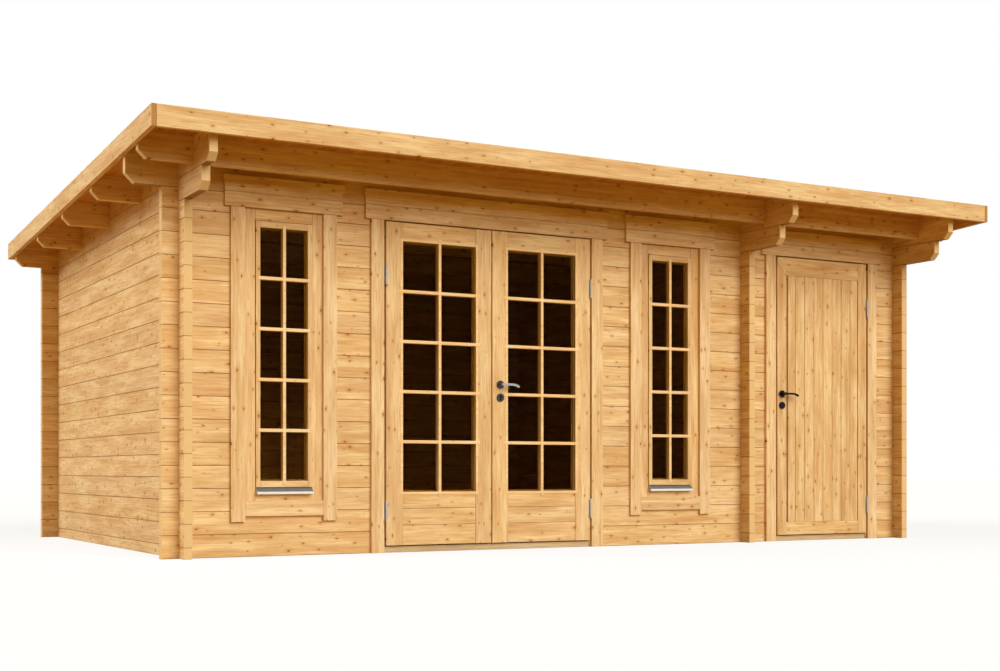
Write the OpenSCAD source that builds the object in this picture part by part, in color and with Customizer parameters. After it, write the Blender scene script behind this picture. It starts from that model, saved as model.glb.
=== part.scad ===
// Log cabin garden shed with a low mono-pitch roof, a glazed main room and a
// boarded store room. Interlocking log walls, roof on log purlins.
// X runs along the front, Y into the building, Z up. Millimetres.

/* [Cabin] */
// Clear width of the main room
main_w = 3968; // [3700:10:4500]
// Depth over the outer faces of the front and back walls
cabin_d = 3200; // [2800:10:4000]
// Clear width of the store room at the right-hand end
store_w = 1382; // [1300:10:2000]
// Height of the roof's underside above the ground at the front wall
front_h = 2340; // [2150:5:2600]

/* [Logs] */
// Height of one log course
log_h = 133; // [120:0.5:146]
// Thickness of the logs
log_t = 50; // [44:1:58]
// Projection of the log ends past the wall that they cross
log_end = 100; // [70:1:130]
// Projection of the back wall's logs past the side walls
back_log_end = 120; // [70:1:130]
// Width of the bevel along each log edge, two of which form a V groove
groove = 3.5; // [2:0.5:5]
// Bevel on the vertical edges of each log end
end_bevel = 3; // [1:0.5:6]
// How much lower than a full course the front beam lies
beam_lower = 13; // [0:1:20]
// How much lower than full courses the corbel logs lie
corbel_lower = 26; // [0:1:28]

/* [Roof] */
// Fall of the roof towards the back, in degrees
roof_pitch = 2.8; // [2:0.1:3.2]
// Reach of the roof past the front wall, to the front of the fascia
front_reach = 637; // [600:1:700]
// Reach of the roof past the back wall, to the back of the fascia
back_reach = 130; // [110:1:250]
// Reach of the roof past the left wall, to the outside of the fascia
left_reach = 334; // [240:1:380]
// Reach of the roof past the right wall, to the outside of the fascia
right_reach = 260; // [240:1:380]
// Thickness of the roof boards
roof_board_t = 19; // [16:1:24]
// Thickness of the roofing felt
felt_t = 3; // [2:0.5:5]
// Height of the fascia boards
fascia_h = 118; // [110:1:140]
// Thickness of the fascia boards
fascia_t = 28; // [18:1:30]
// Height of the fascia's top above the roof felt
fascia_lip = 22; // [5:1:30]
// Height of the purlins
purlin_h = 150; // [120:1:160]
// Distance of the front purlin's front face from the front wall
front_purlin_out = 273; // [200:1:290]
// Number of purlins inside the building
purlins_inside = 3; // [1:1:4]

/* [Corbels] */
// Reach of the upper corbel logs past the front wall
upper_corbel = 559; // [480:1:590]
// Reach of the lower corbel logs past the front wall
lower_corbel = 425; // [350:1:460]
// Slanting cut on the lower corner of the corbels and purlins
corbel_cut = 46; // [20:1:55]
// Slanting cut on the lower corner of the front beam's ends
beam_cut = 55; // [20:1:80]

/* [Windows] */
// How much narrower the wall left of the left window is than the other stretches
corner_nearer = 27; // [0:1:60]
// Width of the window frames
window_w = 514; // [480:1:520]
// Height of the underside of the window frames
window_sill = 312; // [300:1:330]
// Depth from the roof's underside at the front wall to the heads of the openings
lintel_h = 307; // [280:1:350]
// Width of a window frame's stiles
window_member = 80; // [70:1:90]
// Height of the strip of a window frame's head that shows under its casing
head_view = 67; // [50:1:75]
// Height of a window frame's bottom member
window_bottom = 91; // [70:1:95]
// Width of the window sash's stiles
sash_stile = 27; // [20:1:35]
// Height of the window sash's rails
sash_rail = 37; // [30:1:50]
// Thickness of the window sashes
sash_t = 42; // [36:1:44]
// Projection of the window's drip sill from the frame
sill_out = 32; // [25:1:45]

/* [Doors] */
// How far the store door stands left of the middle of the store room
store_door_left = 4; // [0:1:40]
// Width of each leaf of the double door
leaf_w = 731; // [715:1:735]
// Width of the store door's leaf
store_leaf_w = 838; // [820:1:845]
// Thickness of the door leaves
leaf_t = 44; // [40:1:44]
// Running gap round the door leaves
leaf_gap = 6; // [6:0.5:8]
// Gap between the two leaves, and at the store door's lock
lock_gap = 8; // [8:0.5:10]
// Height of the underside of the leaves above the ground
leaf_bottom = 44; // [41:1:44]
// Width of the double door's stiles
stile_w = 112; // [100:1:120]
// Height of the double door's top rail
top_rail = 114; // [95:1:125]
// Height of the double door's glass above the ground
glass_bottom = 372; // [330:1:420]
// Height of each board below the glass; the lowest one fills the rest
kick_board_h = 102; // [90:1:120]
// Width of the store door's stiles
store_stile = 80; // [75:1:110]
// Height of the store door's rails
store_rail = 90; // [80:1:110]
// Thickness of the store door's boarding
store_board_t = 16; // [12:1:20]
// Width of the jambs that line a doorway
jamb_t = 40; // [35:1:44]
// Width of the stops that the leaves close on
stop_w = 15; // [10:1:20]

/* [Casings] */
// Thickness of the casing boards on the wall face
casing_t = 20; // [16:1:22]
// Width of the window casings and the head boards
casing_w = 87; // [80:1:90]
// Width of the door casings
door_casing_w = 86; // [80:1:94]
// Strip of the door jambs left in view by the casing
casing_reveal = 8; // [4:1:10]
// Height of the board above each head board
cap_h = 97; // [85:1:100]
// Height of the front lath on that board
cap_lath_h = 50; // [30:1:60]
// Thickness of the front lath
cap_lath_t = 10; // [6:1:14]
// Projection of the head boards past the side casings
head_ear = 37; // [20:1:38]
// Height of the lower end of the window casings
casing_foot = 204; // [180:1:215]
// Height of the board under each window
apron_h = 90; // [84:1:96]

/* [Glass] */
// Thickness of the glass
glass_t = 4; // [3:0.5:6]
// Depth of the groove that holds the glass
glass_groove = 8; // [5:1:10]
// Wood left behind each pane
pane_back = 8; // [6:1:12]

/* [Floor] */
// Height of the floor joists
joist_h = 40; // [36:1:45]
// Width of the floor joists
joist_w = 60; // [45:1:75]
// Thickness of the floor boards
floor_t = 19; // [16:1:22]
// Number of joists under each room
joists = 5; // [4:1:7]

/* [Hardware] */
// Diameter of the hinge barrels
hinge_d = 13; // [13:0.5:15]
// Diameter of the hinge pins
hinge_pin_d = 8; // [6:0.5:9]
// Height of a whole hinge
hinge_h = 122; // [100:1:140]
// Distance from the top of a leaf down to its upper hinge's centre
hinge_top = 327; // [250:1:400]
// Height of the lower hinges' centres above the ground
hinge_low = 253; // [200:1:300]
// Thickness of the hinge plates
hinge_plate = 2; // [1.5:0.5:2]
// Height of the door handles above the ground
handle_h = 1050; // [1000:5:1100]
// Distance from the handle down to the keyhole rose
keyhole_drop = 82; // [72:1:92]
// Diameter of the round roses
rose_d = 52; // [50:1:56]
// Thickness of the roses
rose_t = 8; // [6:1:10]
// Length of the lever
lever_l = 108; // [100:1:125]
// Thickness of the lever
lever_d = 14; // [12:1:18]
// Reach of the lever from the face of its rose
lever_out = 45; // [40:1:55]

/* [Hidden] */
$fn = 48;

// Fits: the gap between pieces that seat on each other, and a turning fit
fit = 0.3;
turn_fit = 0.1;
over = 10;   // how far a cutting shape runs past what it cuts

// Colours
pine = "#d9a765";
dark_pine = "#b07a3c";
zinc = "#c3c7cb";
nickel = "#b9b6ae";
black_iron = "#1d1d1f";
felt_grey = "#3a3c3c";
clear = "#bcd0d0";

// Walls
partition_x = log_t + main_w;
right_x = partition_x + log_t + store_w;
cabin_w = right_x + log_t;
back_y = cabin_d - log_t;
side_walls = [0, partition_x, right_x];

// Roof: its underside falls from front_h at the front wall towards the back
function roof_z(y) = front_h - y * tan(roof_pitch);
roof_front = -front_reach + fascia_t;
roof_back = cabin_d + back_reach - fascia_t;
roof_left = -left_reach + fascia_t;
roof_right = cabin_w + right_reach - fascia_t;
fascia_low = roof_board_t + felt_t + fascia_lip - fascia_h;   // from the roof's underside

// Courses: the front and back walls start with a whole log, the others with half.
// The front wall's beam lies on the log that the openings' frames reach into. The two
// corbel logs of each wall along Y are the topmost ones.
head_h = front_h - lintel_h;
frame_top = head_h + jamb_t;
front_last = floor(frame_top / log_h) + 1;
back_last = floor(roof_z(cabin_d) / log_h) - 1;
side_last = front_last + 1;
function front_z(course) = course * log_h - (course == front_last ? beam_lower : 0);
function side_z(course) = course == 0 ? 0
    : (course - 0.5) * log_h - (course >= side_last - 1 ? corbel_lower : 0);

// Purlins: one in front of the wall, the rest evenly between front and back walls
purlin_gap = back_y / (purlins_inside + 1);
purlin_ys = [-front_purlin_out, for (i = [1:purlins_inside]) i * purlin_gap];

// Doorways
double_clear = 2 * leaf_w + lock_gap + 2 * leaf_gap;
store_clear = store_leaf_w + lock_gap + leaf_gap;
double_frame_w = double_clear + 2 * jamb_t;

// Windows and double door stand with equal stretches of wall between them
stretch = (main_w - 2 * window_w - double_frame_w + corner_nearer) / 4;
left_window_x = log_t + stretch - corner_nearer + window_w / 2;
double_door_x = left_window_x + window_w / 2 + stretch + double_frame_w / 2;
right_window_x = double_door_x + double_frame_w / 2 + stretch + window_w / 2;
store_door_x = right_x - store_w / 2 - store_door_left;

double_x0 = double_door_x - double_clear / 2;
double_x1 = double_door_x + double_clear / 2;
store_x0 = store_door_x - store_clear / 2;
store_x1 = store_door_x + store_clear / 2;
leaf_top = head_h - leaf_gap;
leaf_in = 4;                             // the leaves close just behind the casing's face
leaf_front = -casing_t + leaf_in;
leaf_back = leaf_front + leaf_t;
stop_gap = 5;                            // gap between a closed leaf and its stops
stop_y = leaf_back + stop_gap;
hinge_clear = 1;                         // gap between the barrels and the casing's face
hinge_y = -casing_t - hinge_clear - hinge_d / 2;   // axis of the hinge pins
hinge_in = leaf_gap / 2;                 // axis to leaf edge and to jamb

// Windows: outer edges of the frames
window_lap = 14;                         // the casing laps over the frame
function window_left(x) = x - window_w / 2;
function window_right(x) = x + window_w / 2;
sash_gap = 2;
sash_w = window_w - 2 * window_member - 2 * sash_gap;
sash_low = window_sill + window_bottom + sash_gap;
sash_top = head_h - head_view - sash_gap;
sash_front = -8;

// Lowest course that the windows cut
window_course = floor(window_sill / log_h);

// Moves the origin from the front left corner to the middle of the roof's plan
module shed() {
    translate([-(cabin_w + right_reach - left_reach) / 2,
        -(cabin_d + back_reach - front_reach) / 2, 0]) children();
}

// A box given by its lower and its upper corner
module block(low, high) {
    translate(low) cube(high - low);
}

// ---------- Logs ----------

// Cross-section of a log: a rectangle with a bevel along each edge
module log_section(height) {
    polygon([[0, groove], [groove, 0], [log_t - groove, 0], [log_t, groove],
        [log_t, height - groove], [log_t - groove, height], [groove, height],
        [0, height - groove]]);
}

// Plan of a log: bevelled corners at the ends that stand free
module log_plan(length, bevel_start, bevel_end) {
    a = bevel_start ? end_bevel : 0;
    b = bevel_end ? end_bevel : 0;
    polygon([[a, 0], [length - b, 0], [length, b], [length, log_t - b],
        [length - b, log_t], [a, log_t], [0, log_t - a], [0, a]]);
}

// A log along X from x0 to x1; its child is its outline seen from the front
module log_x(x0, x1, y, z, height, bevel_start, bevel_end) {
    intersection() {
        translate([x0, y, z]) rotate([90, 0, 90]) linear_extrude(x1 - x0) log_section(height);
        translate([x0, y, z]) linear_extrude(height) log_plan(x1 - x0, bevel_start, bevel_end);
        translate([0, y + log_t + over, 0]) rotate([90, 0, 0])
            linear_extrude(log_t + 2 * over) children();
    }
}

// A log along Y from y0 to y1; its child is its outline seen from the side
module log_y(x, y0, y1, z, height) {
    intersection() {
        translate([x, y1, z]) rotate([90, 0, 0]) linear_extrude(y1 - y0) log_section(height);
        translate([x + log_t, y0, z]) rotate([0, 0, 90]) linear_extrude(height)
            log_plan(y1 - y0, true, true);
        translate([x - over, 0, 0]) rotate([90, 0, 90])
            linear_extrude(log_t + 2 * over) children();
    }
}

// 2D rectangle from its lower left to its upper right corner
module rect(x0, z0, x1, z1) {
    translate([x0, z0]) square([x1 - x0, z1 - z0]);
}

// Outline of a front or back log between x0 and x1, notched where it crosses each wall
// along Y. A quarter of the course is cut from above and a quarter from below.
module notched_x(course, x0, x1, z0, z1) {
    difference() {
        rect(x0, z0, x1, z1);
        for (wall = side_walls) {
            rect(wall - fit, z0 - over, wall + log_t + fit, (course + 0.25) * log_h + fit / 2);
            rect(wall - fit, (course + 0.75) * log_h - fit / 2, wall + log_t + fit, z1 + over);
        }
    }
}

// One log of the front wall between x0 and x1, clear of the openings it meets
module front_log(course, x0, x1) {
    z0 = front_z(course);
    z1 = front_z(course + 1) - fit;
    log_x(x0, x1, 0, z0, z1 - z0, x0 < 0, x1 > cabin_w) difference() {
        notched_x(course, x0, x1, z0, z1);
        openings_2d();
    }
}

// The holes that the windows and doors need in the front wall
module openings_2d() {
    for (x = [left_window_x, right_window_x])
        rect(window_left(x) - fit, window_sill - fit, window_right(x) + fit, frame_top + fit);
    rect(double_x0 - jamb_t - fit, -over, double_x1 + jamb_t + fit, frame_top + fit);
    rect(store_x0 - jamb_t - fit, -over, store_x1 + jamb_t + fit, frame_top + fit);
}

// Courses first to last of the front wall between x0 and x1
module front_courses(first, last, x0, x1) {
    for (course = [first:last]) front_log(course, x0, x1);
}

// Space below the roof boards and clear of the back fascia, seen from the side
module under_roof_2d() {
    fascia_foot = roof_z(cabin_d + back_reach) + fascia_low - fit;
    polygon([[roof_front + fit, -over], [cabin_d + back_reach, -over],
        [cabin_d + back_reach, fascia_foot], [roof_back - fit, fascia_foot],
        [roof_back - fit, roof_z(roof_back) - fit],
        [roof_front + fit, roof_z(roof_front) - fit]]);
}

// The same space as a solid
module under_roof() {
    translate([-left_reach, 0, 0]) rotate([90, 0, 90])
        linear_extrude(cabin_w + left_reach + right_reach) under_roof_2d();
}

// A wall beam with its underside at z0, at the top of the front or the back wall. It
// reaches the fascias at both ends. Past the log ends, which project by reach, its
// underside lifts to end_z, and its lower corner is cut at a slant.
module wall_beam(course, y, z0, reach, end_z, cut) {
    z1 = roof_z(y) + over;
    x0 = roof_left + fit;
    x1 = roof_right - fit;
    intersection() {
        log_x(x0, x1, y, z0, z1 - z0, false, false) difference() {
            notched_x(course, x0, x1, z0, z1);
            beam_end_2d(x0, -reach, z0, end_z, cut);
            mirror([1, 0]) beam_end_2d(-x1, -cabin_w - reach, z0, end_z, cut);
        }
        under_roof();
    }
}

// What is cut from the underside of a beam's left end, between x0 and x1
module beam_end_2d(x0, x1, z0, end_z, cut) {
    rect(x0 - over, z0 - over, x1, end_z);
    slant_2d(x0, end_z, cut);
}

// A slanting cut on the lower left corner of an outline whose corner is at x, z
module slant_2d(x, z, cut) {
    polygon([[x - over, z - over], [x + cut + over, z - over], [x - over, z + cut + over]]);
}

// Side outline of one log of a wall along Y. It runs from y0 to the back log ends, is
// notched for the front and back walls and slotted for the purlins.
module side_log_2d(course, y0, z0, z1) {
    difference() {
        intersection() {
            rect(y0, z0, cabin_d + log_end, z1);
            under_roof_2d();
        }
        crossing_2d(course, 0, front_last, z0, z1);
        crossing_2d(course, back_y, back_last, z0, z1);
        for (y = purlin_ys)
            rect(y - fit, purlin_bottom(y) - fit, y + log_t + fit, front_h + log_h);
        if (y0 < -log_end) slant_2d(y0, z0, corbel_cut);
    }
}

// Notches of a log along Y at a wall along X whose top beam is course last
module crossing_2d(course, y, last, z0, z1) {
    if (course > 0 && course - 1 <= last)
        rect(y - fit, z0 - over, y + log_t + fit, (course - 0.25) * log_h + fit / 2);
    if (course <= last)
        rect(y - fit, (course + 0.25) * log_h - fit / 2, y + log_t + fit, z1 + over);
}

// A wall along Y with its outer or left face at x
module side_wall(x) {
    for (course = [0:side_last]) {
        z0 = side_z(course);
        z1 = course == side_last ? roof_z(-front_reach) : side_z(course + 1) - fit;
        y0 = course == side_last ? -upper_corbel : course == side_last - 1 ? -lower_corbel : -log_end;
        log_y(x, y0, cabin_d + log_end, z0, z1 - z0) side_log_2d(course, y0, z0, z1);
    }
}

module front_wall_left_base() {
    color(pine) shed() front_courses(0, window_course, -log_end, double_x0 - jamb_t - fit);
}

module front_wall_left_corner() {
    color(pine) shed()
        front_courses(window_course + 1, front_last - 2, -log_end, window_left(left_window_x) - fit);
}

module front_wall_left_pier() {
    color(pine) shed() front_courses(window_course + 1, front_last - 2,
        window_right(left_window_x) + fit, double_x0 - jamb_t - fit);
}

module front_wall_right_base() {
    color(pine) shed()
        front_courses(0, window_course, double_x1 + jamb_t + fit, store_x0 - jamb_t - fit);
}

module front_wall_right_pier() {
    color(pine) shed() front_courses(window_course + 1, front_last - 2,
        double_x1 + jamb_t + fit, window_left(right_window_x) - fit);
}

module front_wall_store_pier() {
    color(pine) shed() front_courses(window_course + 1, front_last - 2,
        window_right(right_window_x) + fit, store_x0 - jamb_t - fit);
}

module front_wall_end_pier() {
    color(pine) shed() front_courses(0, front_last - 2, store_x1 + jamb_t + fit, cabin_w + log_end);
}

module front_wall_head_log() {
    color(pine) shed() front_log(front_last - 1, -log_end, cabin_w + log_end);
}

module front_wall_beam() {
    color(pine) shed() wall_beam(front_last, 0, front_z(front_last), log_end,
        front_z(front_last), beam_cut);
}

module left_wall() {
    color(pine) shed() side_wall(0);
}

module partition_wall() {
    color(pine) shed() side_wall(partition_x);
}

module right_wall() {
    color(pine) shed() side_wall(right_x);
}

module back_wall() {
    color(pine) shed() {
        x0 = -back_log_end;
        x1 = cabin_w + back_log_end;
        for (course = [0:back_last - 1])
            log_x(x0, x1, back_y, course * log_h, log_h - fit, true, true)
                notched_x(course, x0, x1, course * log_h, (course + 1) * log_h - fit);
        wall_beam(back_last, back_y, back_last * log_h, back_log_end, purlin_bottom(back_y),
            corbel_cut);
    }
}

// ---------- Roof ----------

function purlin_bottom(y) = roof_z(y) - purlin_h;

module purlins() {
    color(pine) shed() for (y = purlin_ys) intersection() {
        log_x(roof_left + fit, roof_right - fit, y, purlin_bottom(y), purlin_h + over, false, false)
            difference() {
                rect(roof_left, purlin_bottom(y), roof_right, front_h + log_h);
                slant_2d(roof_left, purlin_bottom(y), corbel_cut);
                mirror([1, 0]) slant_2d(-roof_right, purlin_bottom(y), corbel_cut);
            }
        under_roof();
    }
}

// A sheet parallel to the roof slope, lift above its underside
module roof_sheet(x0, x1, y0, y1, lift, thickness) {
    translate([x0, 0, 0]) rotate([90, 0, 90]) linear_extrude(x1 - x0)
        polygon([[y0, roof_z(y0) + lift], [y1, roof_z(y1) + lift],
            [y1, roof_z(y1) + lift + thickness], [y0, roof_z(y0) + lift + thickness]]);
}

module roof_boards() {
    color(pine) shed() roof_sheet(roof_left + fit, roof_right - fit, roof_front + fit,
        roof_back - fit, 0, roof_board_t);
}

module roof_felt() {
    color(felt_grey) shed() roof_sheet(roof_left + fit, roof_right - fit, roof_front + fit,
        roof_back - fit, roof_board_t + fit, felt_t);
}

module roof_fascias() {
    color(pine) shed() {
        for (y = [-front_reach, cabin_d + back_reach - fascia_t])
            roof_sheet(roof_left + fit, roof_right - fit, y, y + fascia_t, fascia_low, fascia_h);
        for (x = [-left_reach, cabin_w + right_reach - fascia_t])
            roof_sheet(x, x + fascia_t, -front_reach, cabin_d + back_reach, fascia_low, fascia_h);
    }
}

// ---------- Floor ----------

floor_gap = fit;        // the floors reach the walls

// Joists under one room whose floor runs from x0 to x1
module room_joists(x0, x1) {
    pitch = (back_y - log_t - 2 * floor_gap - joist_w) / (joists - 1);
    for (i = [0:joists - 1])
        translate([x0, log_t + floor_gap + i * pitch, 0]) cube([x1 - x0, joist_w, joist_h]);
}

module floor_joists() {
    color(dark_pine) shed() {
        room_joists(log_t + floor_gap, partition_x - floor_gap);
        room_joists(partition_x + log_t + floor_gap, right_x - floor_gap);
    }
}

module main_floor() {
    color(pine) shed() block([log_t + floor_gap, log_t + floor_gap, joist_h],
        [partition_x - floor_gap, back_y - floor_gap, joist_h + floor_t]);
}

module store_floor() {
    color(pine) shed() block([partition_x + log_t + floor_gap, log_t + floor_gap, joist_h],
        [right_x - floor_gap, back_y - floor_gap, joist_h + floor_t]);
}

// ---------- Windows ----------

// Frame of the window centred on x: two stiles, a head, a bottom member and stops
module window_frame(x) {
    x0 = window_left(x);
    x1 = window_right(x);
    in0 = x0 + window_member;
    in1 = x1 - window_member;
    low = window_sill + window_bottom;
    top = sash_top + sash_gap;
    block([x0, 0, window_sill], [in0, log_t, frame_top]);
    block([in1, 0, window_sill], [x1, log_t, frame_top]);
    block([in0 + fit, 0, window_sill], [in1 - fit, log_t, low]);
    block([in0 + fit, 0, top], [in1 - fit, log_t, frame_top]);
    stop = sash_front + sash_t + fit;
    for (sx = [in0 + fit, in1 - stop_w - fit])
        block([sx, stop, low + fit], [sx + stop_w, log_t, top - fit]);
    for (sz = [low + fit, top - stop_w - fit])
        block([in0 + stop_w + 2 * fit, stop, sz], [in1 - stop_w - 2 * fit, log_t, sz + stop_w]);
}

// A pane in the XZ plane, and the groove it needs when grown
module pane(x0, z0, x1, z1, y, grow) {
    block([x0 - grow, y - grow, z0 - grow], [x1 + grow, y + glass_t + grow, z1 + grow]);
}

sash_pane_y = sash_front + sash_t - pane_back - glass_t;

// Glass of the window centred on x, set into the grooves of the sash
module window_pane(x, grow) {
    reach = glass_groove - fit;
    pane(x - sash_w / 2 + sash_stile - reach, sash_low + sash_rail - reach,
        x + sash_w / 2 - sash_stile + reach, sash_top - sash_rail + reach, sash_pane_y, grow);
}

// Sash of the window centred on x: stiles with the rails between them
module window_sash(x) {
    y1 = sash_front + sash_t;
    difference() {
        union() {
            for (sx = [x - sash_w / 2, x + sash_w / 2 - sash_stile])
                block([sx, sash_front, sash_low], [sx + sash_stile, y1, sash_top]);
            for (sz = [sash_low, sash_top - sash_rail])
                block([x - sash_w / 2 + sash_stile + fit, sash_front, sz],
                    [x + sash_w / 2 - sash_stile - fit, y1, sz + sash_rail]);
        }
        window_pane(x, fit);
    }
}

// Head board, board above it and its front lath over an opening from x0 to x1
module head_trim(x0, x1) {
    z1 = head_h + casing_w;
    block([x0, -casing_t, head_h + fit], [x1, -fit, z1]);
    block([x0, -casing_t, z1 + fit], [x1, -fit, z1 + cap_h]);
    block([x0 - cap_lath_t, -casing_t - cap_lath_t - fit, z1 + cap_h - cap_lath_h],
        [x1 + cap_lath_t, -casing_t - fit, z1 + cap_h]);
}

// Casing of the window centred on x
module window_casing(x) {
    in0 = window_left(x) + window_lap;
    in1 = window_right(x) - window_lap;
    for (sx = [in0 - casing_w, in1])
        block([sx, -casing_t, casing_foot], [sx + casing_w, -fit, head_h]);
    apron_top = window_sill + window_lap;
    block([in0 + fit, -casing_t, apron_top - apron_h], [in1 - fit, -fit, apron_top]);
    head_trim(in0 - casing_w - head_ear, in1 + casing_w + head_ear);
}

// Drip sill of the window centred on x: a bent sheet under the sash, which falls towards
// its front lip. The lip's lower edge lies drop below the sheet's top.
module window_sill_strip(x) {
    top = window_sill + window_bottom;
    sheet = 3;
    drop = 40;
    fall = 24;
    inner = 1;      // how much lower the sheet's inner corners lie
    translate([x - sash_w / 2, 0, 0]) rotate([90, 0, 90]) linear_extrude(sash_w)
        polygon([[-fit, top], [-sill_out, top - fall], [-sill_out, top - drop + sheet],
            [-sill_out + sheet, top - drop], [-sill_out + sheet, top - fall - inner],
            [-sheet - fit, top - sheet - inner], [-sheet - fit, top - drop], [-fit, top - drop]]);
}

module left_window_frame() { color(pine) shed() window_frame(left_window_x); }

module left_window_sash() { color(pine) shed() window_sash(left_window_x); }

module left_window_glass() { color(clear, 0.4) shed() window_pane(left_window_x, 0); }

module left_window_casing() { color(pine) shed() window_casing(left_window_x); }

module right_window_frame() { color(pine) shed() window_frame(right_window_x); }

module right_window_sash() { color(pine) shed() window_sash(right_window_x); }

module right_window_glass() { color(clear, 0.4) shed() window_pane(right_window_x, 0); }

module right_window_casing() { color(pine) shed() window_casing(right_window_x); }

module window_sills() {
    color(zinc) shed() for (x = [left_window_x, right_window_x]) window_sill_strip(x);
}

// ---------- Doorways ----------

// Jambs, head and stops of a doorway whose clear opening runs from x0 to x1
module door_frame(x0, x1) {
    block([x0 - jamb_t, 0, 0], [x0, log_t, frame_top]);
    block([x1, 0, 0], [x1 + jamb_t, log_t, frame_top]);
    block([x0 + fit, 0, head_h], [x1 - fit, log_t, frame_top]);
    stop_foot = joist_h + floor_t + fit;
    for (sx = [x0 + fit, x1 - stop_w - fit])
        block([sx, stop_y, stop_foot], [sx + stop_w, log_t, head_h - fit]);
    block([x0 + stop_w + 2 * fit, stop_y, head_h - stop_w - fit],
        [x1 - stop_w - 2 * fit, log_t, head_h - fit]);
}

// Casing of a doorway whose clear opening runs from x0 to x1
module door_casing(x0, x1) {
    in0 = x0 - casing_reveal;
    in1 = x1 + casing_reveal;
    for (sx = [in0 - door_casing_w, in1])
        block([sx, -casing_t, 0], [sx + door_casing_w, -fit, head_h]);
    head_trim(in0 - door_casing_w - head_ear, in1 + door_casing_w + head_ear);
}

threshold_in = 5;       // the threshold's front lies behind the wall's face

// Threshold between the jambs at x0 and x1, with the bar that the leaves close on
module threshold(x0, x1) {
    step = leaf_bottom - leaf_gap;
    block([x0 + fit, threshold_in, 0], [x1 - fit, log_t, step]);
    block([x0 + fit, stop_y, step + fit], [x1 - fit, log_t, joist_h + floor_t]);
}

module double_door_frame() { color(pine) shed() door_frame(double_x0, double_x1); }

module double_door_casing() { color(pine) shed() door_casing(double_x0, double_x1); }

module store_door_frame() { color(pine) shed() door_frame(store_x0, store_x1); }

module store_door_casing() { color(pine) shed() door_casing(store_x0, store_x1); }

module thresholds() {
    color(dark_pine) shed() {
        threshold(double_x0, double_x1);
        threshold(store_x0, store_x1);
    }
}

// ---------- Hinges ----------

// Heights of the middle of each hinge
hinge_zs = [hinge_low, leaf_top - hinge_top];
washer_gap = 1;
plate_depth = 40;
plate_gap = 0.1;        // between a hinge plate and the wood it lies on
pin_short = 8;          // the pin ends this far below the barrel's top
bore_short = 6;         // and its bore this far below

// Places its child, drawn for a hinge on the left jamb, at each hinge of a leaf
module at_hinges(jamb_x, left_hung) {
    for (z = hinge_zs) translate([jamb_x, 0, z]) mirror([left_hung ? 0 : 1, 0, 0]) children();
}

// Lower half of a hinge with its pin, on the jamb; the jamb's face is at X = 0
module hinge_pin_half() {
    low = -hinge_h / 2;
    pin_up = hinge_h / 2 - pin_short;
    translate([hinge_in, hinge_y, low]) cylinder(d = hinge_d, h = hinge_h / 2);
    translate([hinge_in, hinge_y, -over]) cylinder(d = hinge_pin_d, h = pin_up + over);
    block([plate_gap, hinge_y, low], [plate_gap + hinge_plate, plate_depth + hinge_y, 0]);
}

// Upper half of a hinge, on the leaf
module hinge_leaf_half() {
    difference() {
        union() {
            translate([hinge_in, hinge_y, washer_gap]) cylinder(d = hinge_d, h = hinge_h / 2 - washer_gap);
            block([leaf_gap - plate_gap - hinge_plate, hinge_y, washer_gap],
                [leaf_gap - plate_gap, plate_depth + hinge_y, hinge_h / 2]);
        }
        translate([hinge_in, hinge_y, washer_gap - over])
            cylinder(d = hinge_pin_d + 2 * turn_fit, h = hinge_h / 2 - bore_short + over - washer_gap);
    }
}

module hinge_pins() {
    color(zinc) shed() {
        at_hinges(double_x0, true) hinge_pin_half();
        at_hinges(double_x1, false) hinge_pin_half();
        at_hinges(store_x1, false) hinge_pin_half();
    }
}

module left_door_hinges() { color(zinc) shed() at_hinges(double_x0, true) hinge_leaf_half(); }

module right_door_hinges() { color(zinc) shed() at_hinges(double_x1, false) hinge_leaf_half(); }

module store_door_hinges() { color(zinc) shed() at_hinges(store_x1, false) hinge_leaf_half(); }

// ---------- Door leaves ----------

leaf_pane_y = leaf_back - pane_back - glass_t;
left_leaf_x = double_x0 + leaf_gap;
right_leaf_x = double_x1 - leaf_gap - leaf_w;
store_leaf_x = store_x0 + lock_gap;

// Pane of a glazed leaf whose left edge is at x
module leaf_pane(x, grow) {
    reach = glass_groove - fit;
    pane(x + stile_w - reach, glass_bottom - reach, x + leaf_w - stile_w + reach,
        leaf_top - top_rail + reach, leaf_pane_y, grow);
}

// Two stiles of a leaf width wide with its left edge at x
module leaf_stiles(x, width, stile) {
    for (sx = [x, x + width - stile])
        block([sx, leaf_front, leaf_bottom], [sx + stile, leaf_back, leaf_top]);
}

// A rail between the stiles from z0 to z1
module leaf_rail(x, width, stile, z0, z1) {
    block([x + stile + fit, leaf_front, z0], [x + width - stile - fit, leaf_back, z1]);
}

// Stiles and top rail of a glazed leaf
module glazed_leaf(x) {
    difference() {
        union() {
            leaf_stiles(x, leaf_w, stile_w);
            leaf_rail(x, leaf_w, stile_w, leaf_top - top_rail, leaf_top);
        }
        leaf_pane(x, fit);
    }
}

kick_boards = 3;
kick_recess = 2;

// The horizontal boards under the glass; the top one holds the glass
module kick_board_stack(x) {
    difference() {
        for (i = [1:kick_boards]) {
            low = i == kick_boards ? leaf_bottom : glass_bottom - i * kick_board_h;
            block([x + stile_w + fit, leaf_front + kick_recess, low],
                [x + leaf_w - stile_w - fit, leaf_back - kick_recess,
                    glass_bottom - (i - 1) * kick_board_h - fit]);
        }
        leaf_pane(x, fit);
    }
}

// Axis of the handle in the middle of a stile of the right leaf and of the store door
right_handle_x = right_leaf_x + stile_w / 2;
store_handle_x = store_leaf_x + store_stile / 2;

// Hole for the handle's spindle through a stile
module spindle_hole(x) {
    translate([x, leaf_back + over, handle_h]) rotate([90, 0, 0])
        cylinder(d = neck_d, h = leaf_t + 2 * over);
}

module left_door_leaf() { color(pine) shed() glazed_leaf(left_leaf_x); }

module left_door_boards() { color(pine) shed() kick_board_stack(left_leaf_x); }

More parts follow.
